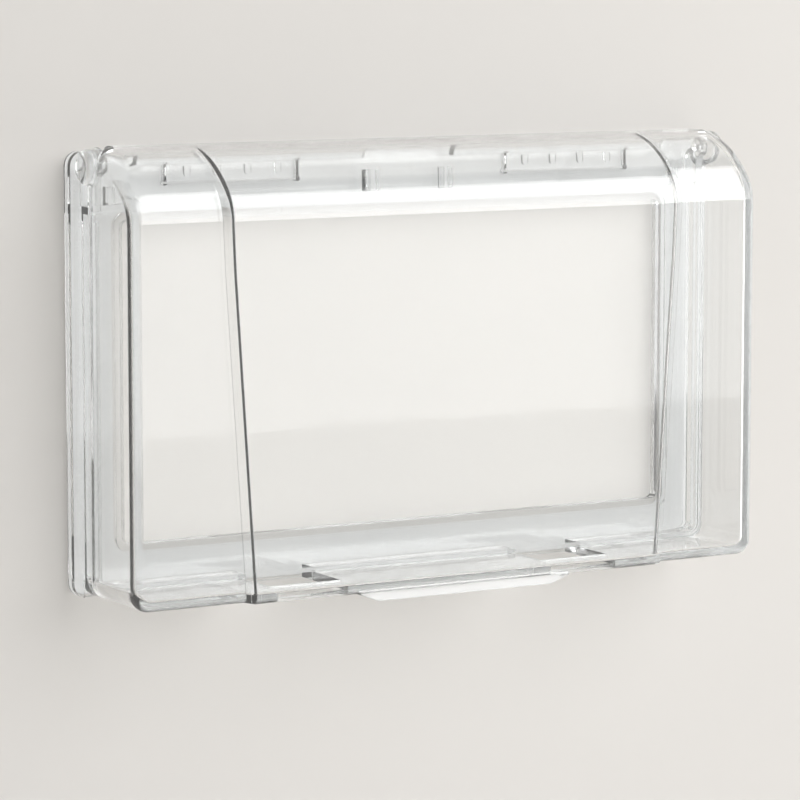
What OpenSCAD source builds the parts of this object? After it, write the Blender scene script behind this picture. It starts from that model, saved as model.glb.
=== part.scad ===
// Clear splash cover for two socket plates side by side, on a wall.
// X runs right, Y runs into the wall and Z up. The wall is the plane Y = 0 and
// the origin is the middle of the flange on the wall. "Depth" is the distance
// in front of the wall, "up" the height above the cover's lower face.

/* [Opening] */
// Width of the opening for the socket plates
open_w = 173.2; // [172:0.1:180]
// Height of the opening for the socket plates
open_h = 88.6; // [87:0.1:94]
// Width of the raised rim round the opening
rim_w = 2.4; // [1:0.1:4]

/* [Cover] */
// Width of the cover beside the opening
side_w = 14; // [10:0.1:30]
// Height of the cover below the opening
foot_h = 13.7; // [11:0.1:30]
// Height of the cover above the opening, up to the lid's crest
head_h = 20.7; // [19:0.1:40]
// Depth of the lid at its two ends
end_depth = 34.8; // [28:0.1:50]
// How far the middle of the lid stands in front of its ends
raise = 3.7; // [1:0.1:8]
// Thickness of the lid's walls
lid_t = 2.4; // [1.6:0.1:3.2]
// Radius of the lid's lower corners, seen from the front
corner_r = 5; // [3:0.5:10]
// Radius of the lid's upper edges at its ends, over the crest
top_r = 5.2; // [2:0.1:5.5]
// Radius of the lid's upright front edges
edge_r = 2.8; // [1:0.1:4]
// Radius where the curved top meets the front of the ends
nose_r = 13; // [9:0.5:18]
// How far below the crest that curve meets the upright front
nose_drop = 20.5; // [17:0.5:26]
// Depth at which the lid meets the frame's walls
joint_depth = 9; // [7:0.1:12]
// Gap between the lid and the frame where they meet
joint_gap = 0.3; // [0.2:0.05:0.6]

/* [Raised middle] */
// Half width of the raised middle at the top
mid_top_half = 73.4; // [60:0.1:85]
// Half width of the raised middle at the lower face
mid_low_half = 67; // [50:0.1:80]
// Width of the bevel round the raised middle
mid_bevel = 1.7; // [0.5:0.1:4]
// Width of the finger lip at its root
lip_w = 68; // [40:1:90]
// Height of the finger lip below the lower face
lip_h = 2.1; // [1:0.1:5]

/* [Frame] */
// How far the flange on the wall stands out past the lid at each side
flange_lip = 3.2; // [1:0.1:8]
// How far the flange's upper edge stays below the lid's crest
flange_drop = 1.6; // [1:0.1:6]
// Radius of the flange's corners
flange_r = 4; // [1:0.1:8]
// Thickness of the flange plate
plate_t = 2.4; // [1.6:0.1:4]
// Thickness of the flange's two side borders
border_t = 4; // [3:0.1:5]
// Thickness of the frame's outer walls
wall_t = 3.8; // [2.4:0.1:5]
// Thickness of the ledge over the socket plates
ledge_t = 2.4; // [1.6:0.1:4]
// How far the ledge's ends lie below the lid's crest
ledge_drop = 16.3; // [13:0.1:22]
// How much higher the ledge is in the middle
ledge_rise = 2.4; // [0:0.1:4]

/* [Hinge] */
// Depth of the hinge axis
axis_depth = 10; // [8:0.1:14]
// Height of the hinge axis below the lid's crest
axis_drop = 5.6; // [4.5:0.1:8]
// Radius of the hinge pegs
peg_r = 1.2; // [0.8:0.05:2]
// Running clearance round the pegs
peg_gap = 0.05; // [0.02:0.01:0.1]
// Radius of the round bosses at the lid's ends
boss_r = 4.8; // [4:0.1:5.4]
// Radius of the hinge ears' heads
ear_r = 2.6; // [2:0.1:3]
// Thickness of the frame's hinge ears
ear_t = 2.4; // [1.6:0.1:4]

/* [Cable ways] */
// Width of a cable slot in the lower walls of the frame and the lid
slot_w = 22; // [10:0.5:30]
// Distance of a cable slot's middle from the cover's middle
slot_x = 44; // [30:0.5:60]
// Depth to which the cable slots reach
slot_depth = 24.8; // [15:0.1:30]
// Depth of the score lines under the lower walls
score_t = 0.5; // [0.3:0.1:1]

/* [Wall gasket] */
// Thickness of the gasket on the wall
gasket_t = 0.8; // [0.5:0.1:3]
// How far the gasket stays inside the flange's edge
gasket_inset = 0.6; // [0:0.1:3]

/* [Hidden] */
box_w = open_w + 2 * side_w;
box_h = foot_h + open_h + head_h;
flange_w = box_w + 2 * flange_lip;
flange_h = box_h - flange_drop;
low = -flange_h / 2;
crest = low + box_h;
half = box_w / 2;
plate_front = gasket_t + plate_t;
border_front = gasket_t + border_t;
side_gap = 0.2;
axis_z = crest - axis_drop;
ledge_z = crest - ledge_drop;
mid_depth = end_depth + raise;
mid_nose_r = nose_r + 1.5;
wrap_half = half - 15.1;
stop_half = 13.4;
notch_half = stop_half + 1.1;
tongue_in = half - 66;
tongue_out = half - 26.1;
tongue_z = crest - 10.7;
nub_step = (tongue_out - tongue_in - 11.7) / 3;
score_x = slot_x + slot_w / 2 + 9.5;
cap_w = top_r + 1.4;
ear_out = half - lid_t - side_gap;
ear_in = ear_out - ear_t;
lid_back = joint_depth + joint_gap;
end_steps = [0, 0.4, 1.2, 2.6, top_r];
$fn = 64;

base_frame();
lid();
wall_gasket();

// A shape drawn in Y and Z, made solid along X between two planes.
module across(x0, x1) translate([x0, 0, 0]) rotate([90, 0, 90]) linear_extrude(x1 - x0) children();

// A shape drawn in X and Z, made solid between two depths.
module between(d0, d1) translate([0, -d0, 0]) rotate([90, 0, 0]) linear_extrude(d1 - d0) children();

// A shaft or a hole along X on the hinge axis.
module on_axis(r, x0, x1) translate([x0, -axis_depth, axis_z]) rotate([0, 90, 0]) cylinder(r = r, h = x1 - x0);

module both_ends() {
    children();
    mirror([1, 0, 0]) children();
}

// A rectangle with round corners, from its lower left to its upper right corner.
module rounded(x0, z0, x1, z1, r) {
    translate([x0 + r, z0]) square([x1 - x0 - 2 * r, z1 - z0]);
    translate([x0, z0 + r]) square([x1 - x0, z1 - z0 - 2 * r]);
    for (x = [x0 + r, x1 - r], z = [z0 + r, z1 - r]) translate([x, z]) circle(r);
}

// How far a round edge of radius r has cut in, at a distance w from its end.
function fillet(w, r) = w >= r ? 0 : r - sqrt(r * r - (r - w) * (r - w));

function arc(d, z, r, a0, a1, n) = [for (i = [0:n]) let(a = a0 + (a1 - a0) * i / n) [-d - r * cos(a), z + r * sin(a)]];

// Side view of the lid: crest over the hinge axis, a long curve, a tighter nose,
// an upright front and a small round at the lower edge. "inside" shrinks it, and
// "cuts" takes a little more off its front, top and lower face.
module side_view(depth, nose, inside, back, cuts) {
    front = depth - inside - cuts[0];
    top = crest - inside - cuts[1];
    base = low + inside + cuts[2];
    a = depth - nose - axis_depth;
    z = crest - nose_drop;
    r = front - depth + nose;
    big = (a * a + (top - z) * (top - z) - r * r) / (2 * (top - z - r));
    turn = atan2(z - top + big, -a);
    foot = 3 - inside * 0.8;
    polygon(concat(
        [[-back, base], [-(front - foot), base]],
        arc(front - foot, base + foot, foot, -75, 0, 3),
        arc(depth - nose, z, r, 0, 180 - turn, 5),
        arc(axis_depth, top - big, big, 180 - turn + 4, 90, 10),
        [[-back, top]]));
}

// The lid's main body as a solid, or its hollow when "inside" is the wall
// thickness. Its end edges are round: widest over the crest, tighter in front.
module ends_solid(inside, back) {
    seam = half - cap_w;
    across(-seam, seam) side_view(end_depth, nose_r, inside, back, [0, 0, 0]);
    both_ends() hull() for (w = end_steps)
        across(seam, half - inside - w)
            side_view(end_depth, nose_r, inside, back, [
                fillet(w, edge_r - inside * 0.5),
                fillet(w, top_r - inside * 0.9),
                fillet(w, corner_r - inside * 0.6)]);
}

// Front view of the raised middle: wider at the top.
module mid_front(extra) {
    polygon([
        [-mid_low_half - extra, low - 1], [mid_low_half + extra, low - 1],
        [mid_top_half + extra, crest - 25], [mid_top_half + extra, crest + 1],
        [-mid_top_half - extra, crest + 1], [-mid_top_half - extra, crest - 25]]);
}

// The raised middle: a bevelled solid between the ends' surface and its own.
module mid_solid(inside, back) {
    hull() {
        intersection() {
            across(-half, half) side_view(end_depth, nose_r, inside, back, [0, 0, 0]);
            between(back - 1, mid_depth + 1) mid_front(-inside * 0.35);
        }
        intersection() {
            across(-half, half) side_view(mid_depth, mid_nose_r, inside, back, [0, 0, 0]);
            between(back - 1, mid_depth + 1) mid_front(-mid_bevel - inside * 0.35);
        }
    }
}

// Part of a ring round the hinge axis, between two angles measured from the front.
module wrap_ring(x0, x1, end_angle) {
    across(x0, x1) intersection() {
        translate([-axis_depth, axis_z]) difference() {
            circle(axis_drop);
            circle(axis_drop - lid_t);
        }
        translate([-axis_depth, axis_z]) polygon([
            [-0.9, 0], [-0.9, 3 * axis_drop], [3 * axis_drop, 3 * axis_drop],
            [3 * axis_drop, 3 * axis_drop * tan(180 - end_angle)]]);
    }
}

// The end of the wrap, closed by a disc in the plane of the lid's side wall.
module wrap_end() {
    intersection() {
        translate([half - cap_w, -axis_depth, axis_z]) rotate([0, 90, 0]) difference() {
            union() {
                cylinder(r = axis_drop, h = cap_w - top_r);
                translate([0, 0, cap_w - top_r]) cylinder(r1 = axis_drop, r2 = boss_r, h = top_r);
            }
            translate([0, 0, -1]) cylinder(r = axis_drop - lid_t, h = cap_w + 1 - lid_t);
        }
        union() {
            translate([half - lid_t, -axis_depth - axis_drop - 1, axis_z - axis_drop - 1])
                cube([lid_t + 1, 2 * axis_drop + 2, 2 * axis_drop + 2]);
            across(half - cap_w - 0.5, half) translate([-axis_depth, axis_z])
                polygon([[-0.9, 0], [-0.9, 2 * axis_drop], [2 * axis_drop / tan(60), 2 * axis_drop], [0, 0]]);
        }
    }
}

// Round boss at the lid's end, with a cone for its rounded rim.
module boss() {
    on_axis(boss_r, half - lid_t, half + 1.2);
    translate([half + 1.2, -axis_depth, axis_z]) rotate([0, 90, 0])
        cylinder(r1 = boss_r, r2 = boss_r - 1.8, h = flange_lip - 1.4);
}

module finger_lip() {
    between(mid_depth - 3.6, mid_depth + 0.6)
        polygon([
            [-lip_w / 2, low + 2.2], [-lip_w / 2, low], [-lip_w / 2 + 6, low - lip_h],
            [lip_w / 2 - 6, low - lip_h], [lip_w / 2, low], [lip_w / 2, low + 2.2]]);
}

// Two fine score lines under the lower walls, beside a cable slot.
module score_lines() {
    for (x = [score_x, score_x + 2.2])
        translate([x, -slot_depth - 4, low - 1]) cube([0.6, slot_depth + 4 - plate_front, score_t + 1]);
}

module lid() color([0.93, 0.96, 0.98, 0.35]) {
    difference() {
        union() {
            ends_solid(0, lid_back);
            mid_solid(0, lid_back);
            both_ends() {
                boss();
                wrap_ring(notch_half, wrap_half, 176);
                wrap_ring(wrap_half - 0.1, half - cap_w + 0.1, 120);
                wrap_end();
            }
            finger_lip();
        }
        // The hollow, open to the back.
        ends_solid(lid_t, lid_back - 2);
        mid_solid(lid_t, lid_back - 2);
        both_ends() {
            // Cable slot, open to the lid's back edge.
            translate([slot_x - slot_w / 2, -slot_depth, low - 1])
                cube([slot_w, slot_depth, lid_t + 2]);
            // Slot over the hinge ear, which stays clear of it as the lid turns.
            translate([ear_in - 0.8, -axis_depth - ear_r - 0.5, axis_z - ear_r - 0.4])
                cube([ear_t + 0.8 + side_gap, axis_depth, axis_drop + ear_r + 1.4]);
            score_lines();
        }
    }
    both_ends() on_axis(peg_r, ear_in - 0.7, half - 0.1);
}

// Front view of the frame's walls: an arched top ledge, round lower corners.
module wall_front(inside) {
    span = half - inside;
    arch = (half * half + ledge_rise * ledge_rise) / (2 * ledge_rise);
    intersection() {
        rounded(-span, low + inside, span, ledge_z + 20, corner_r - inside * 0.6);
        translate([0, ledge_z - min(inside, ledge_t) + ledge_rise - arch]) circle(arch, $fn = 1440);
    }
}

module flange_front(inset) {
    rounded(-flange_w / 2 + inset, low + inset, flange_w / 2 - inset, -low - inset, flange_r - inset);
}

module opening_front(extra, r) {
    rounded(-open_w / 2 - extra, low + foot_h - extra, open_w / 2 + extra, low + foot_h + open_h + extra, r);
}

// The slot that frees one of the two tongues in the plate above the ledge.
module tongue_cuts() {
    between(gasket_t - 1, plate_front + 1) {
        for (x = [tongue_in - 0.6, tongue_out + 0.6]) {
            translate([x - 0.4, tongue_z]) square([0.8, 6.4]);
            translate([x, tongue_z]) circle(0.8, $fn = 24);
        }
        translate([tongue_in - 0.6, tongue_z - 0.3]) square([tongue_out - tongue_in + 1.2, 0.6]);
    }
}

module nubs() {
    for (i = [0:3])
        between(plate_front - 0.1, plate_front + 0.7) translate([tongue_in + 5.8 + nub_step * i, tongue_z + 2.7]) {
            circle(1, $fn = 24);
            translate([-1, 0]) square([2, 2]);
        }
}

// Ear on the ledge with a round head for the hinge peg; its shoulder is round.
module ear() {
    head_low = axis_z - ear_r - 0.4;
    across(ear_in, ear_out) difference() {
        translate([-axis_depth, 0]) {
            translate([0, axis_z]) circle(ear_r);
            translate([0.1, ledge_z - ledge_t / 2])
                square([axis_depth - plate_front, head_low - ledge_z + ledge_t / 2]);
            translate([0.1, head_low]) square([ear_r, ear_r + 0.4]);
            translate([ear_r, head_low]) circle(ear_r + 0.4);
        }
        translate([-axis_depth, axis_z]) circle(peg_r + peg_gap);
    }
}

module base_frame() color([0.93, 0.96, 0.98, 0.35]) {
    difference() {
        union() {
            between(gasket_t, plate_front) flange_front(0);
            // Raised borders at the two sides.
            between(plate_front - 0.1, border_front) difference() {
                flange_front(0);
                translate([-half, low - 1]) square([box_w, flange_h + 2]);
            }
            between(plate_front - 0.1, plate_front + 0.8) opening_front(rim_w, 4);
            // Walls round the socket plates.
            between(plate_front - 0.1, joint_depth) difference() {
                wall_front(0);
                wall_front(wall_t);
            }
            // Thin lip inside the joint, which throws drips back outside.
            between(joint_depth - 0.1, joint_depth + 2) intersection() {
                difference() {
                    wall_front(lid_t + 0.3);
                    wall_front(wall_t);
                }
                translate([-half, low]) square([box_w, ledge_z - ledge_t - 1.6 - low]);
            }
        }
        between(gasket_t - 1, joint_depth) opening_front(0, 2);
        both_ends() {
            tongue_cuts();
            translate([slot_x - slot_w / 2, -joint_depth - 3, low - 1])
                cube([slot_w, joint_depth + 3 - plate_front, wall_t + 2]);
            score_lines();
        }
    }
    both_ends() {
        nubs();
        ear();
        // Small rib beside each ear.
        translate([ear_in - 6, -6.4, ledge_z - 0.5]) cube([2.2, 6.4 - plate_front + 0.1, 5.5]);
        // Cheek of the middle stop.
        translate([stop_half - 2.8, -joint_depth + 1, ledge_z + 0.5])
            cube([2.8, joint_depth - 1 - plate_front + 0.1, 7]);
    }
    translate([0.1 - stop_half, -plate_front - 1.4, ledge_z + 0.5]) cube([2 * stop_half - 0.2, 1.5, 7]);
}

module wall_gasket() color([0.95, 0.95, 0.94])
    between(0, gasket_t) difference() {
        flange_front(gasket_inset);
        opening_front(rim_w, 4);
    }
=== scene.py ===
"""Clear splash cover over two socket plates, on a pale wall.
Sizes are in millimetres, as in the part's source; MM turns them into metres."""
import math

import bmesh
import bpy
from mathutils import Matrix, Vector


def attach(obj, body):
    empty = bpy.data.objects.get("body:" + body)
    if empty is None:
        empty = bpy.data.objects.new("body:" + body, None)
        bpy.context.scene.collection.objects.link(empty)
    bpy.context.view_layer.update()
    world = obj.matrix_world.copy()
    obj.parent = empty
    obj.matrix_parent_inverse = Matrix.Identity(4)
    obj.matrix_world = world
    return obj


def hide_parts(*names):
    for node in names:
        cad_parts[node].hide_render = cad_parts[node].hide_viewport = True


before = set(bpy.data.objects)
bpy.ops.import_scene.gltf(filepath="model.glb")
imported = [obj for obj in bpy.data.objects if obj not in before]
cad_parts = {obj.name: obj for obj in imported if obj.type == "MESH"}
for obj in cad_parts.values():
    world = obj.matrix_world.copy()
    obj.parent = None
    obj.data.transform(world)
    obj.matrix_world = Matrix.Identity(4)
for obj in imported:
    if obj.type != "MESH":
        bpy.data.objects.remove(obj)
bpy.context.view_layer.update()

scene = bpy.context.scene
MM = 0.001

# Sizes of the cover
FLANGE_W, FLANGE_H, FLANGE_R = 207.6, 121.4, 4.0
LOW = -FLANGE_H / 2
CREST = LOW + 123.0
HALF = 100.6
END_DEPTH, MID_DEPTH = 34.8, 38.5
LID_T = 2.4
CORNER_R, TOP_R, EDGE_R = 5.0, 5.2, 2.8
NOSE_R, NOSE_DROP = 13.0, 20.5
LID_BACK = 9.3
MID_TOP, MID_LOW, BEVEL_W = 73.4, 67.0, 1.7
AXIS_D, AXIS_DROP = 10.0, 5.6
AXIS_Z = CREST - AXIS_DROP


# ---- materials ----

def nodes_of(name):
    mat = bpy.data.materials.new(name)
    mat.use_nodes = True
    return mat, mat.node_tree, mat.node_tree.nodes["Principled BSDF"]


def math_node(nt, op, a, b=None, c=None):
    node = nt.nodes.new("ShaderNodeMath")
    node.operation = op
    for i, value in enumerate((a, b, c)):
        if value is None:
            continue
        if isinstance(value, (int, float)):
            node.inputs[i].default_value = value
        else:
            nt.links.new(value, node.inputs[i])
    return node.outputs[0]


def noise(nt, scale, detail=3.0):
    coord = nt.nodes.new("ShaderNodeTexCoord")
    tex = nt.nodes.new("ShaderNodeTexNoise")
    tex.inputs["Scale"].default_value = scale
    tex.inputs["Detail"].default_value = detail
    nt.links.new(coord.outputs["Object"], tex.inputs["Vector"])
    return tex.outputs["Fac"]


def spread(nt, value, low, high):
    node = nt.nodes.new("ShaderNodeMapRange")
    nt.links.new(value, node.inputs["Value"])
    node.inputs["From Min"].default_value = 0.3
    node.inputs["From Max"].default_value = 0.7
    node.inputs["To Min"].default_value = low
    node.inputs["To Max"].default_value = high
    return node.outputs["Result"]


def bump(nt, height, strength, distance, normal=None):
    node = nt.nodes.new("ShaderNodeBump")
    node.inputs["Strength"].default_value = strength
    node.inputs["Distance"].default_value = distance
    nt.links.new(height, node.inputs["Height"])
    if normal is not None:
        nt.links.new(normal, node.inputs["Normal"])
    return node.outputs["Normal"]


def clear_plastic(name, tint, edge_round, frosted_lip):
    """Polished clear plastic. The lid's is frosted on the finger lip, below its
    lower face. Its shadow is a light one, as clear plastic's is."""
    mat, nt, shader = nodes_of(name)
    shader.inputs["Base Color"].default_value = (*tint, 1)
    shader.inputs["IOR"].default_value = 1.57
    shader.inputs["Transmission Weight"].default_value = 0.975
    rough = spread(nt, noise(nt, 60.0), 0.008, 0.03)
    if frosted_lip:
        coord = nt.nodes.new("ShaderNodeTexCoord")
        parts = nt.nodes.new("ShaderNodeSeparateXYZ")
        nt.links.new(coord.outputs["Object"], parts.inputs[0])
        lip = math_node(nt, "LESS_THAN", parts.outputs["Z"], (LOW - 0.1) * MM)
        clearness = math_node(nt, "MULTIPLY_ADD", lip, -0.4, 0.975)
        nt.links.new(clearness, shader.inputs["Transmission Weight"])
        rough = math_node(nt, "MULTIPLY_ADD", lip, 0.2, rough)
    nt.links.new(rough, shader.inputs["Roughness"])
    edge = nt.nodes.new("ShaderNodeBevel")
    edge.samples = 4
    edge.inputs["Radius"].default_value = edge_round * MM
    flow = bump(nt, noise(nt, 35.0, 1.0), 0.03, 0.0006, edge.outputs["Normal"])
    nt.links.new(flow, shader.inputs["Normal"])
    path = nt.nodes.new("ShaderNodeLightPath")
    nt.links.new(math_node(nt, "MULTIPLY_ADD", path.outputs["Is Shadow Ray"], -0.85, 1.0),
                 shader.inputs["Alpha"])
    depth = nt.nodes.new("ShaderNodeVolumeAbsorption")
    depth.inputs["Color"].default_value = (0.2, 0.24, 0.23, 1)
    depth.inputs["Density"].default_value = 7.5
    nt.links.new(depth.outputs["Volume"], nt.nodes["Material Output"].inputs["Volume"])
    return mat


def foam(name):
    mat, nt, shader = nodes_of(name)
    ramp = nt.nodes.new("ShaderNodeValToRGB")
    ramp.color_ramp.elements[0].color = (0.84, 0.84, 0.83, 1)
    ramp.color_ramp.elements[1].color = (0.92, 0.92, 0.915, 1)
    nt.links.new(noise(nt, 900.0), ramp.inputs["Fac"])
    nt.links.new(ramp.outputs["Color"], shader.inputs["Base Color"])
    shader.inputs["Roughness"].default_value = 0.85
    nt.links.new(bump(nt, noise(nt, 2200.0), 0.35, 0.0002), shader.inputs["Normal"])
    return mat


LID_CLEAR = clear_plastic("lid_clear", (0.985, 0.99, 0.99), 0.35, True)
FRAME_CLEAR = clear_plastic("frame_clear", (0.985, 0.99, 0.99), 0.3, False)
FOAM = foam("gasket_foam")


# ---- mesh tools ----

def new_object(name, mesh, mat):
    obj = bpy.data.objects.new(name, mesh)
    scene.collection.objects.link(obj)
    mesh.materials.clear()
    mesh.materials.append(mat)
    return obj


def mesh_from(name, points, faces):
    """A closed mesh from points in millimetres, with doubles merged and normals out."""
    mesh = bpy.data.meshes.new(name)
    bm = bmesh.new()
    verts = [bm.verts.new(Vector(p) * MM) for p in points]
    for face in faces:
        corners = []
        for i in face:
            if verts[i] not in corners:
                corners.append(verts[i])
        if len(corners) > 2:
            try:
                bm.faces.new(corners)
            except ValueError:
                pass
    bmesh.ops.remove_doubles(bm, verts=bm.verts, dist=1e-6)
    bmesh.ops.dissolve_degenerate(bm, edges=bm.edges, dist=1e-7)
    bmesh.ops.recalc_face_normals(bm, faces=bm.faces)
    bm.to_mesh(mesh)
    bm.free()
    return mesh


def combine(obj, tools, operation):
    """Joins tools to obj, or cuts them out of it, and drops the tools."""
    for tool in tools:
        mod = obj.modifiers.new("combine", "BOOLEAN")
        mod.operation = operation
        mod.solver = "EXACT"
        mod.object = tool
    bpy.context.view_layer.update()
    shape = obj.evaluated_get(bpy.context.evaluated_depsgraph_get())
    mesh = bpy.data.meshes.new_from_object(shape)
    obj.modifiers.clear()
    obj.data = mesh
    for tool in tools:
        bpy.data.objects.remove(tool)


def shade(obj, angle=32.0):
    """Smooth surfaces with sharp edges where faces meet at more than angle."""
    bm = bmesh.new()
    bm.from_mesh(obj.data)
    bmesh.ops.remove_doubles(bm, verts=bm.verts, dist=2e-7)
    for face in bm.faces:
        face.smooth = True
    for edge in bm.edges:
        edge.smooth = len(edge.link_faces) == 2 and edge.calc_face_angle(0) < math.radians(angle)
    bm.to_mesh(obj.data)
    bm.free()
    mod = obj.modifiers.new("normals", "WEIGHTED_NORMAL")
    mod.keep_sharp = True
    mod.weight = 80


def prism(name, outline, low, high, axis, mat, round_by=0.0):
    """An outline made solid along an axis: "y" takes (x, z) and depths, "x" takes (depth, z)."""
    def place(p, h):
        return (h, -p[0], p[1]) if axis == "x" else (p[0], -h, p[1]) if axis == "y" else (p[0], -p[1], h)
    n = len(outline)
    points = [place(p, low) for p in outline] + [place(p, high) for p in outline]
    faces = [list(range(n)), list(range(n, 2 * n))]
    faces += [[i, (i + 1) % n, n + (i + 1) % n, n + i] for i in range(n)]
    obj = new_object(name, mesh_from(name, points, faces), mat)
    if round_by:
        bm = bmesh.new()
        bm.from_mesh(obj.data)
        bmesh.ops.bevel(bm, geom=bm.edges, offset=round_by * MM, segments=3, profile=0.5,
                        affect="EDGES", clamp_overlap=True)
        bm.to_mesh(obj.data)
        bm.free()
    return obj


def box(name, x, d, z, mat, round_by=0.0):
    return prism(name, [(x[0], z[0]), (x[1], z[0]), (x[1], z[1]), (x[0], z[1])], d[0], d[1], "y", mat, round_by)


def turned(name, outline, mat, steps=64):
    """A solid of revolution about the hinge axis from (radius, x) points."""
    points, faces = [], []
    n = len(outline)
    for k in range(steps):
        a = 2 * math.pi * k / steps
        points += [(x, -AXIS_D - r * math.cos(a), AXIS_Z + r * math.sin(a)) for r, x in outline]
    for k in range(steps):
        m = (k + 1) % steps
        faces += [[k * n + i, k * n + i + 1, m * n + i + 1, m * n + i] for i in range(n - 1)]
    return new_object(name, mesh_from(name, points, faces), mat)


# ---- lid ----

def fillet(w, r):
    return 0.0 if w >= r else r - math.sqrt(max(r * r - (r - w) ** 2, 0.0))


def arc(d, z, r, a0, a1, n):
    """n + 1 points from angle a0 to a1, where 0 faces forwards and 90 up."""
    out = []
    for i in range(n + 1):
        a = math.radians(a0 + (a1 - a0) * i / n)
        out.append((d + r * math.cos(a), z + r * math.sin(a)))
    return out


def side_view(depth, nose, inside, cuts):
    """Side view of the lid as (depth, z) points: round the hinge, over the crest and
    down the front to the lower back edge. The number of points is always the same."""
    front = depth - inside - cuts[0]
    top = CREST - inside - cuts[1]
    base = LOW + inside + cuts[2]
    a = depth - nose - AXIS_D
    z = CREST - NOSE_DROP
    r = front - depth + nose
    big = (a * a + (top - z) ** 2 - r * r) / (2 * (top - z - r))
    turn = math.degrees(math.atan2(z - top + big, a))
    foot = 2.2 if inside == 0 else 1.0
    wrap = max(top - AXIS_Z, 0.2)
    points = arc(AXIS_D, AXIS_Z, wrap, 176, 90, 16)
    points += arc(AXIS_D, top - big, big, 90, turn, 26)[1:]
    points += arc(depth - nose, z, r, turn, 0, 22)[1:]
    lower = base + foot
    points += [(front, z + (lower - z) * i / 8) for i in range(1, 9)]
    points += arc(front - foot, lower, foot, 0, -90, 7)[1:]
    points += [(front - foot + (LID_BACK - front + foot) * i / 3, base) for i in range(1, 4)]
    return points


def step_half(z):
    """Half width of the raised middle at a height."""
    t = min(max((z - LOW) / (CREST - 25 - LOW), 0.0), 1.0)
    return MID_LOW + (MID_TOP - MID_LOW) * t


def ramp_up(s, soft=0.13):
    """0 to 1 along the bevel, eased at both of its edges."""
    scale = 1 / (1 - soft)
    if s < soft:
        return s * s / (2 * soft) * scale
    if s > 1 - soft:
        return 1 - (1 - s) ** 2 / (2 * soft) * scale
    return (s - soft / 2) * scale


END_STEPS = [0, 0.06, 0.2, 0.42, 0.72, 1.1, 1.55, 2.1, 2.8, 3.5, 4.3, 5.2, 6.2]
BAND_STEPS = [0, 0.03, 0.07, 0.13, 0.5, 0.87, 0.93, 0.97, 1]


def lid_surface(inside):
    """Columns of points across the lid, from its left end to its right one."""
    plain = side_view(END_DEPTH, NOSE_R, inside, (0, 0, 0))
    raised = side_view(MID_DEPTH, NOSE_R + 1.5, inside, (0, 0, 0))
    columns = []
    for w in END_STEPS:
        shape = side_view(END_DEPTH, NOSE_R, inside, (
            fillet(w, EDGE_R - inside * 0.5), fillet(w, TOP_R - inside * 0.9),
            fillet(w, CORNER_R - inside * 0.6)))
        columns.append([(HALF - inside - w, d, z) for d, z in shape])
    columns.append([(84.0, d, z) for d, z in plain])
    for s in BAND_STEPS:
        h = ramp_up(s)
        columns.append([
            (step_half(p[1]) - inside * 0.35 - s * BEVEL_W, p[0] + h * (q[0] - p[0]), p[1] + h * (q[1] - p[1]))
            for p, q in zip(plain, raised)])
    for x in (58.0, 40.0, 20.0):
        columns.append([(x, d, z) for d, z in raised])
    right = [[(x, -d, z) for x, d, z in c] for c in reversed(columns)]
    left = [[(-x, -d, z) for x, d, z in c] for c in columns]
    return left + right


def lid_shell(mat):
    outer, inner = lid_surface(0.0), lid_surface(LID_T)
    cols, rows = len(outer), len(outer[0])
    points = [p for c in outer for p in c] + [p for c in inner for p in c]
    shift = cols * rows
    faces = []
    for c in range(cols - 1):
        for r in range(rows - 1):
            quad = [c * rows + r, c * rows + r + 1, (c + 1) * rows + r + 1, (c + 1) * rows + r]
            faces += [quad, [i + shift for i in quad]]
        for r in (0, rows - 1):
            faces.append([c * rows + r, (c + 1) * rows + r, (c + 1) * rows + r + shift, c * rows + r + shift])
    for c in (0, cols - 1):
        ring = [c * rows + r for r in range(rows)]
        faces += [ring, [i + shift for i in ring]]
        faces.append([ring[0], ring[-1], ring[-1] + shift, ring[0] + shift])
    return new_object("clear_lid", mesh_from("clear_lid", points, faces), mat)


def both_ends(make):
    out = []
    for sign in (-1, 1):
        out += make(sign)
    return out


def span(sign, a, b):
    return (a, b) if sign > 0 else (-b, -a)


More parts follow.
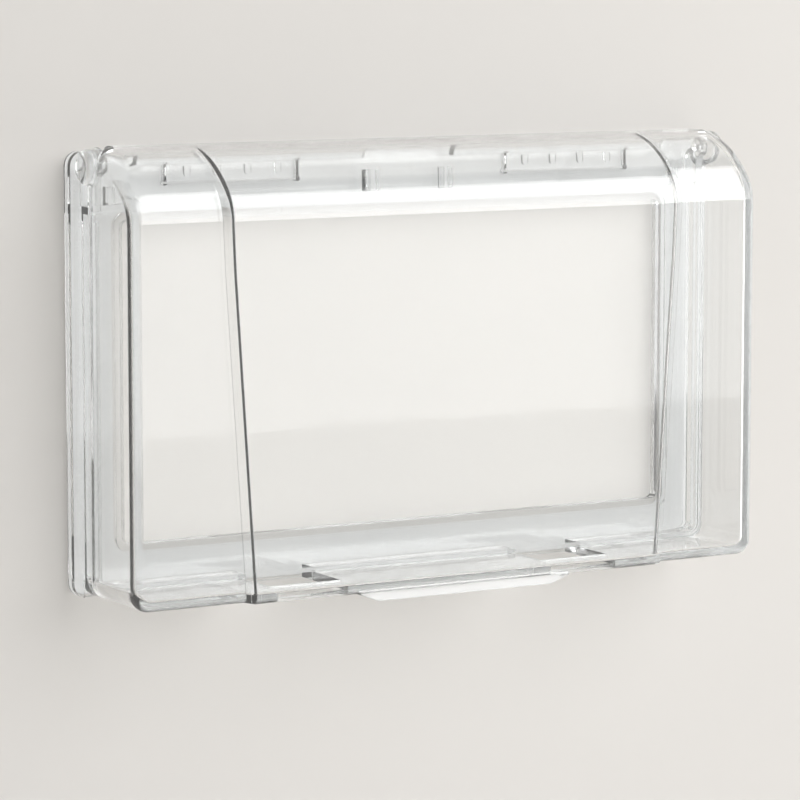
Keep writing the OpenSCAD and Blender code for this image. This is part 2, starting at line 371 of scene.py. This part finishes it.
def build_lid():
    mat = LID_CLEAR
    lid = lid_shell(mat)
    cuts = [box("stop_notch", (-14.5, 14.5), (1.0, LID_BACK), (AXIS_Z - 9, CREST + 2), mat)]

    def end_cuts(sign):
        a = math.tan(math.radians(60))
        wedge = [(AXIS_D, AXIS_Z), (AXIS_D - 12 / a, AXIS_Z + 12), (-6, AXIS_Z + 12), (-6, AXIS_Z - 8), (AXIS_D, AXIS_Z - 8)]
        return [
            prism("wrap_end", [p for p in wedge], *span(sign, 85.5, 94.9), "x", mat),
            box("rear_end", span(sign, 94.8, 105), (-2, LID_BACK), (AXIS_Z - 8, CREST + 2), mat),
            box("ear_slot", span(sign, 94.8, 98.2), (LID_BACK - 6, AXIS_D + 3.1), (AXIS_Z - 3, CREST + 2), mat),
            box("cable_slot", span(sign, 33, 55), (LID_BACK - 4, 24.8), (LOW - 2, LOW + LID_T + 0.6), mat),
            box("score_a", span(sign, 64.5, 65.1), (LID_BACK - 3, 28.8), (LOW - 1, LOW + 0.5), mat),
            box("score_b", span(sign, 66.7, 67.3), (LID_BACK - 3, 28.8), (LOW - 1, LOW + 0.5), mat),
        ]
    combine(lid, cuts + both_ends(end_cuts), "DIFFERENCE")
    lip = prism("finger_lip", [(-34, LOW + 1.2), (-34, LOW + 0.1), (-28, LOW - 2.1), (28, LOW - 2.1), (34, LOW + 0.1), (34, LOW + 1.2)],
                MID_DEPTH - 3.6, MID_DEPTH + 0.6, "y", mat, 0.35)

    def bosses(sign):
        rim = [(4.8 - 2.2 + 2.2 * math.cos(a), 101.2 + 2.2 * math.sin(a))
               for a in (math.radians(90 * i / 10) for i in range(11))]
        outline = [(0, 94.9), (1.0, 94.9), (1.2, 95.1), (1.2, 98.05), (5.3, 98.05), (5.3, 98.4), (4.8, 100.3)]
        outline += rim + [(0, 103.4)]
        return [turned("boss", [(r, sign * x) for r, x in outline], mat)]
    combine(lid, [lip] + both_ends(bosses), "UNION")
    shade(lid)
    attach(lid, "cover")
    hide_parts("lid")
    return lid


def rounded(x0, z0, x1, z1, r, n=8):
    out = []
    for cx, cz, a0 in ((x1 - r, z1 - r, 0), (x0 + r, z1 - r, 90), (x0 + r, z0 + r, 180), (x1 - r, z0 + r, 270)):
        out += [(cx + r * math.cos(math.radians(a0 + 90 * i / n)), cz + r * math.sin(math.radians(a0 + 90 * i / n)))
                for i in range(n + 1)]
    return out


def build_gasket():
    """White foam ring, stuck to the flange along its edge and loose behind the rest of the plate."""
    outer = rounded(-FLANGE_W / 2 + 0.6, LOW + 0.6, FLANGE_W / 2 - 0.6, -LOW - 0.6, 3.4)
    stuck = rounded(-HALF, LOW + 2, HALF, -LOW - 2, 2.4)
    inner = rounded(-89, LOW + 11.3, 89, LOW + 104.7, 4)
    n = len(outer)
    layers = [(outer, 0.0, 0.0), (outer, 0.0, 0.6), (outer, 0.2, 0.83), (stuck, 0.0, 0.83), (stuck, 0.0, 0.74),
              (inner, -0.2, 0.74), (inner, 0.0, 0.55), (inner, 0.0, 0.0)]
    points, faces = [], []
    for ring, inset, d in layers:
        for x, z in ring:
            points.append((x - math.copysign(inset, x), -d, z - math.copysign(inset, z)))
    for k in range(len(layers)):
        m = (k + 1) % len(layers)
        faces += [[k * n + i, k * n + (i + 1) % n, m * n + (i + 1) % n, m * n + i] for i in range(n)]
    gasket = new_object("foam_gasket", mesh_from("foam_gasket", points, faces), FOAM)
    shade(gasket, 40)
    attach(gasket, "frame")
    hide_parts("wall_gasket")


def dress_frame():
    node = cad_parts["base_frame"]
    node.data.materials.clear()
    node.data.materials.append(FRAME_CLEAR)
    for face in node.data.polygons:
        face.use_smooth = True
    split = node.modifiers.new("edges", "EDGE_SPLIT")
    split.split_angle = math.radians(28)


build_lid()
build_gasket()
dress_frame()


# ---- stage, light and camera ----

def matte(name, low, high, one_sided):
    mat, nt, shader = nodes_of(name)
    ramp = nt.nodes.new("ShaderNodeValToRGB")
    ramp.color_ramp.elements[0].position = 0.3
    ramp.color_ramp.elements[1].position = 0.7
    ramp.color_ramp.elements[0].color = (*low, 1)
    ramp.color_ramp.elements[1].color = (*high, 1)
    nt.links.new(noise(nt, 1.3, 1.0), ramp.inputs["Fac"])
    nt.links.new(ramp.outputs["Color"], shader.inputs["Base Color"])
    shader.inputs["Roughness"].default_value = 0.85
    if one_sided:
        geometry = nt.nodes.new("ShaderNodeNewGeometry")
        see_through = nt.nodes.new("ShaderNodeBsdfTransparent")
        mix = nt.nodes.new("ShaderNodeMixShader")
        nt.links.new(geometry.outputs["Backfacing"], mix.inputs[0])
        nt.links.new(shader.outputs["BSDF"], mix.inputs[1])
        nt.links.new(see_through.outputs["BSDF"], mix.inputs[2])
        nt.links.new(mix.outputs["Shader"], nt.nodes["Material Output"].inputs["Surface"])
    return mat


def sheet(name, corners, faces, mat):
    mesh = bpy.data.meshes.new(name)
    mesh.from_pydata(corners, [], faces)
    new_object(name, mesh, mat)


FLOOR_Z = -0.45
WALL = matte("wall_paint", (0.7, 0.68, 0.65), (0.77, 0.75, 0.724), True)
FLOOR = matte("floor_paint", (0.72, 0.705, 0.68), (0.77, 0.76, 0.74), False)
def build_wall():
    """The wall has a hole behind the gasket, which lets light reach the gasket's back."""
    edge = rounded(-3000, FLOOR_Z / MM, 3000, 2400, 1)
    hole = rounded(-FLANGE_W / 2 + 0.9, LOW + 0.9, FLANGE_W / 2 - 0.9, -LOW - 0.9, 3.1)
    middle = rounded(-89.3, LOW + 11.0, 89.3, LOW + 105.0, 4)
    n = len(edge)
    corners = [(x * MM, WALL_Y, z * MM) for ring in (edge, hole, middle) for x, z in ring]
    faces = [(i, (i + 1) % n, n + (i + 1) % n, n + i) for i in range(n)]
    sheet("wall", corners, faces + [tuple(range(2 * n, 3 * n))], WALL)


WALL_Y = 0.0002
build_wall()
sheet("floor", [(-3, -3, FLOOR_Z), (3, -3, FLOOR_Z), (3, 3, FLOOR_Z), (-3, 3, FLOOR_Z)], [(0, 1, 2, 3)], FLOOR)


def build_world():
    world = bpy.data.worlds.new("studio")
    scene.world = world
    world.use_nodes = True
    nt = world.node_tree
    light = nt.nodes["Background"]
    light.inputs["Color"].default_value = (1, 0.99, 0.98, 1)
    light.inputs["Strength"].default_value = 0.24
    seen = nt.nodes.new("ShaderNodeBackground")
    seen.inputs["Strength"].default_value = 1.0
    coord = nt.nodes.new("ShaderNodeTexCoord")
    parts = nt.nodes.new("ShaderNodeSeparateXYZ")
    nt.links.new(coord.outputs["Generated"], parts.inputs[0])
    ramp = nt.nodes.new("ShaderNodeValToRGB")
    ramp.color_ramp.elements[0].position = 0.1
    ramp.color_ramp.elements[0].color = (0.05, 0.05, 0.05, 1)
    ramp.color_ramp.elements[1].position = 0.6
    ramp.color_ramp.elements[1].color = (1.0, 0.995, 0.985, 1)
    nt.links.new(math_node(nt, "MULTIPLY", parts.outputs["Y"], -1.0), ramp.inputs["Fac"])
    nt.links.new(ramp.outputs["Color"], seen.inputs["Color"])
    path = nt.nodes.new("ShaderNodeLightPath")
    any_seen = math_node(nt, "MAXIMUM", path.outputs["Is Camera Ray"],
                         math_node(nt, "MAXIMUM", path.outputs["Is Glossy Ray"], path.outputs["Is Transmission Ray"]))
    mix = nt.nodes.new("ShaderNodeMixShader")
    nt.links.new(any_seen, mix.inputs[0])
    nt.links.new(light.outputs["Background"], mix.inputs[1])
    nt.links.new(seen.outputs["Background"], mix.inputs[2])
    nt.links.new(mix.outputs["Shader"], nt.nodes["World Output"].inputs["Surface"])


def softbox(name, place, aim, width, height, power):
    lamp = bpy.data.lights.new(name, "AREA")
    lamp.shape = "RECTANGLE"
    lamp.size, lamp.size_y = width, height
    lamp.energy = power
    obj = bpy.data.objects.new(name, lamp)
    scene.collection.objects.link(obj)
    obj.location = place
    obj.rotation_euler = (Vector(aim) - Vector(place)).to_track_quat("-Z", "Y").to_euler()


build_world()
softbox("key", (0.75, -1.08, 0.76), (0, 0, 0), 1.4, 1.4, 20)
softbox("right", (1.2, -0.38, -0.02), (0, 0, 0), 0.45, 1.0, 3.6)
softbox("left", (-1.0, -1.2, 0.25), (0, 0, 0), 1.0, 1.2, 3)
softbox("back", (0.5, 1.3, 1.0), (0, 0, 0), 1.2, 1.2, 12)

CAMERA_AZ, CAMERA_EL = math.radians(-30.42), math.radians(6.90)
camera_data = bpy.data.cameras.new("camera")
camera_data.sensor_width = 36
camera_data.lens = 167.85
camera = bpy.data.objects.new("camera", camera_data)
scene.collection.objects.link(camera)
camera.location = Vector((-533.4, -910.9, 114.7)) * MM
camera.rotation_euler = Vector((
    math.sin(CAMERA_AZ) * math.cos(CAMERA_EL), -math.cos(CAMERA_AZ) * math.cos(CAMERA_EL),
    math.sin(CAMERA_EL))).to_track_quat("Z", "Y").to_euler()
scene.camera = camera
scene.view_settings.view_transform = "Standard"
